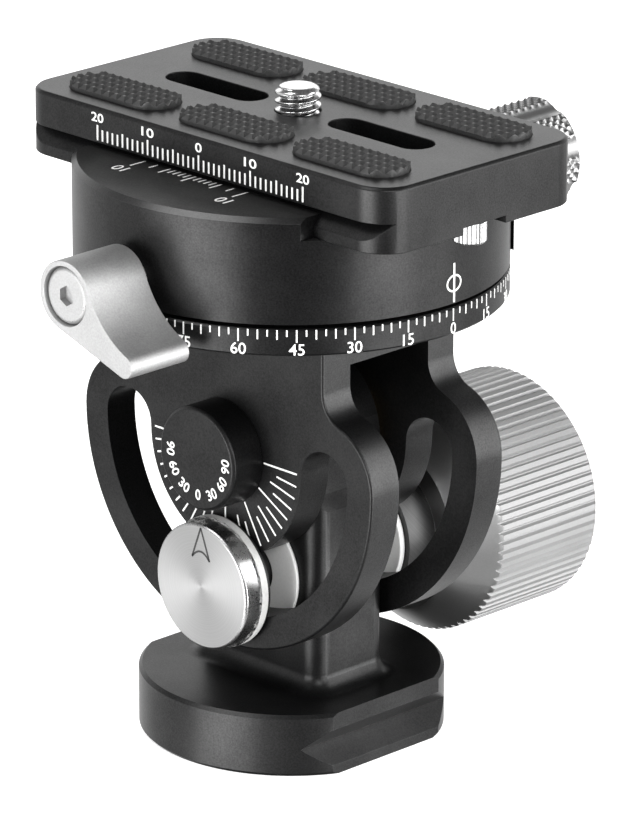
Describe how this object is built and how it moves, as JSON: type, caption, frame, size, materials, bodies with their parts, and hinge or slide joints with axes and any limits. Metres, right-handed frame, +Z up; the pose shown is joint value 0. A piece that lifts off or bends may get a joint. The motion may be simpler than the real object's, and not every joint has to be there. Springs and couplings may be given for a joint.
{
  "type": "monopod tilt and pan head",
  "caption": "Monopod head: a slotted fork tilts on an upright column and locks with a ridged knob, a drum pans above a degree ring, and a knob clamp holds a quick release plate.",
  "frame": {"origin": "centre of the threaded hole at the underside of the foot", "axes": "+Z up along the pan axis at rest, +X along the plate's long side, +Y along the tilt axis towards the two knobs"},
  "size_m": [0.071, 0.0919, 0.0925],
  "materials": {
    "black_anodised": "satin",
    "silver_anodised": "satin",
    "bright_aluminium": "bright knurled",
    "brushed_steel": "spun",
    "steel": "polished",
    "brass": "turned",
    "white_plastic": "satin",
    "black_plastic": "satin",
    "rubber": "moulded pyramids"
  },
  "bodies": {
    "base": {"base": "black_anodised", "tilt_bushes": "white_plastic", "lock_bolt": "steel", "pointer_disc": "brushed_steel", "pointer_washer": "black_plastic", "inner_washers": "white_plastic"},
    "lock_washer": {"outer_washer": "white_plastic"},
    "tilt_knob": {"tilt_knob": "silver_anodised", "knob_insert": "brass"},
    "fork": {"fork": "black_anodised", "pivot_axle": "steel", "pivot_cap": "black_anodised", "pivot_nut": "steel", "friction_ring": "black_plastic", "pan_retainer": "steel", "retainer_screws": "steel"},
    "drum": {"pan_drum": "black_anodised", "brake_shoe": "brass", "guide_pins": "steel", "plate": "black_anodised", "pads": "rubber", "stop_screws": "steel"},
    "pan_lever": {"lever_stud": "steel", "pan_lever": "silver_anodised", "lever_screw": "steel"},
    "jaw": {"moving_jaw": "black_anodised", "jaw_spring": "steel", "clamp_washer": "white_plastic"},
    "clamp_knob": {"clamp_screw": "steel", "clamp_knob": "bright_aluminium"},
    "camera_screw": {"camera_screw": "steel"}
  },
  "joints": [
    {"name": "tilt", "type": "hinge", "parent": "base", "child": "fork", "pos_m": [0, 0, 0.0433], "axis": [0, 1, 0], "range_deg": [-90, 90]},
    {"name": "tilt_knob_travel", "type": "slide", "parent": "base", "child": "lock_washer", "axis": [0, 1, 0], "range_m": [0, 0.00126]},
    {"name": "tilt_knob_turn", "type": "hinge", "parent": "lock_washer", "child": "tilt_knob", "pos_m": [0, 0, 0.0245], "axis": [0, 1, 0], "range_deg": [0, 360]},
    {"name": "pan", "type": "hinge", "parent": "fork", "child": "drum", "pos_m": [0, 0, 0.0683], "axis": [0, 0, 1], "continuous": true},
    {"name": "pan_lever_turn", "type": "hinge", "parent": "drum", "child": "pan_lever", "pos_m": [0, -0.036, 0.0721], "axis": [0, -1, 0], "range_deg": [0, 120]},
    {"name": "jaw_slide", "type": "slide", "parent": "drum", "child": "jaw", "axis": [0, 1, 0], "range_m": [0, 0.0035], "deforming": ["jaw_spring"]},
    {"name": "clamp_knob_turn", "type": "hinge", "parent": "jaw", "child": "clamp_knob", "pos_m": [0, 0.04, 0.073], "axis": [0, 1, 0], "range_deg": [0, 1440]},
    {"name": "camera_screw_turn", "type": "hinge", "parent": "drum", "child": "camera_screw", "pos_m": [0, 0.00125, 0.085], "axis": [0, 0, 1], "continuous": true}
  ],
  "couplings": [
    {"joint": "tilt_knob_travel", "follows": "tilt_knob_turn", "m_per_rad": 0.00019894},
    {"joint": "jaw_slide", "follows": "clamp_knob_turn", "m_per_rad": 0.00012732}
  ]
}
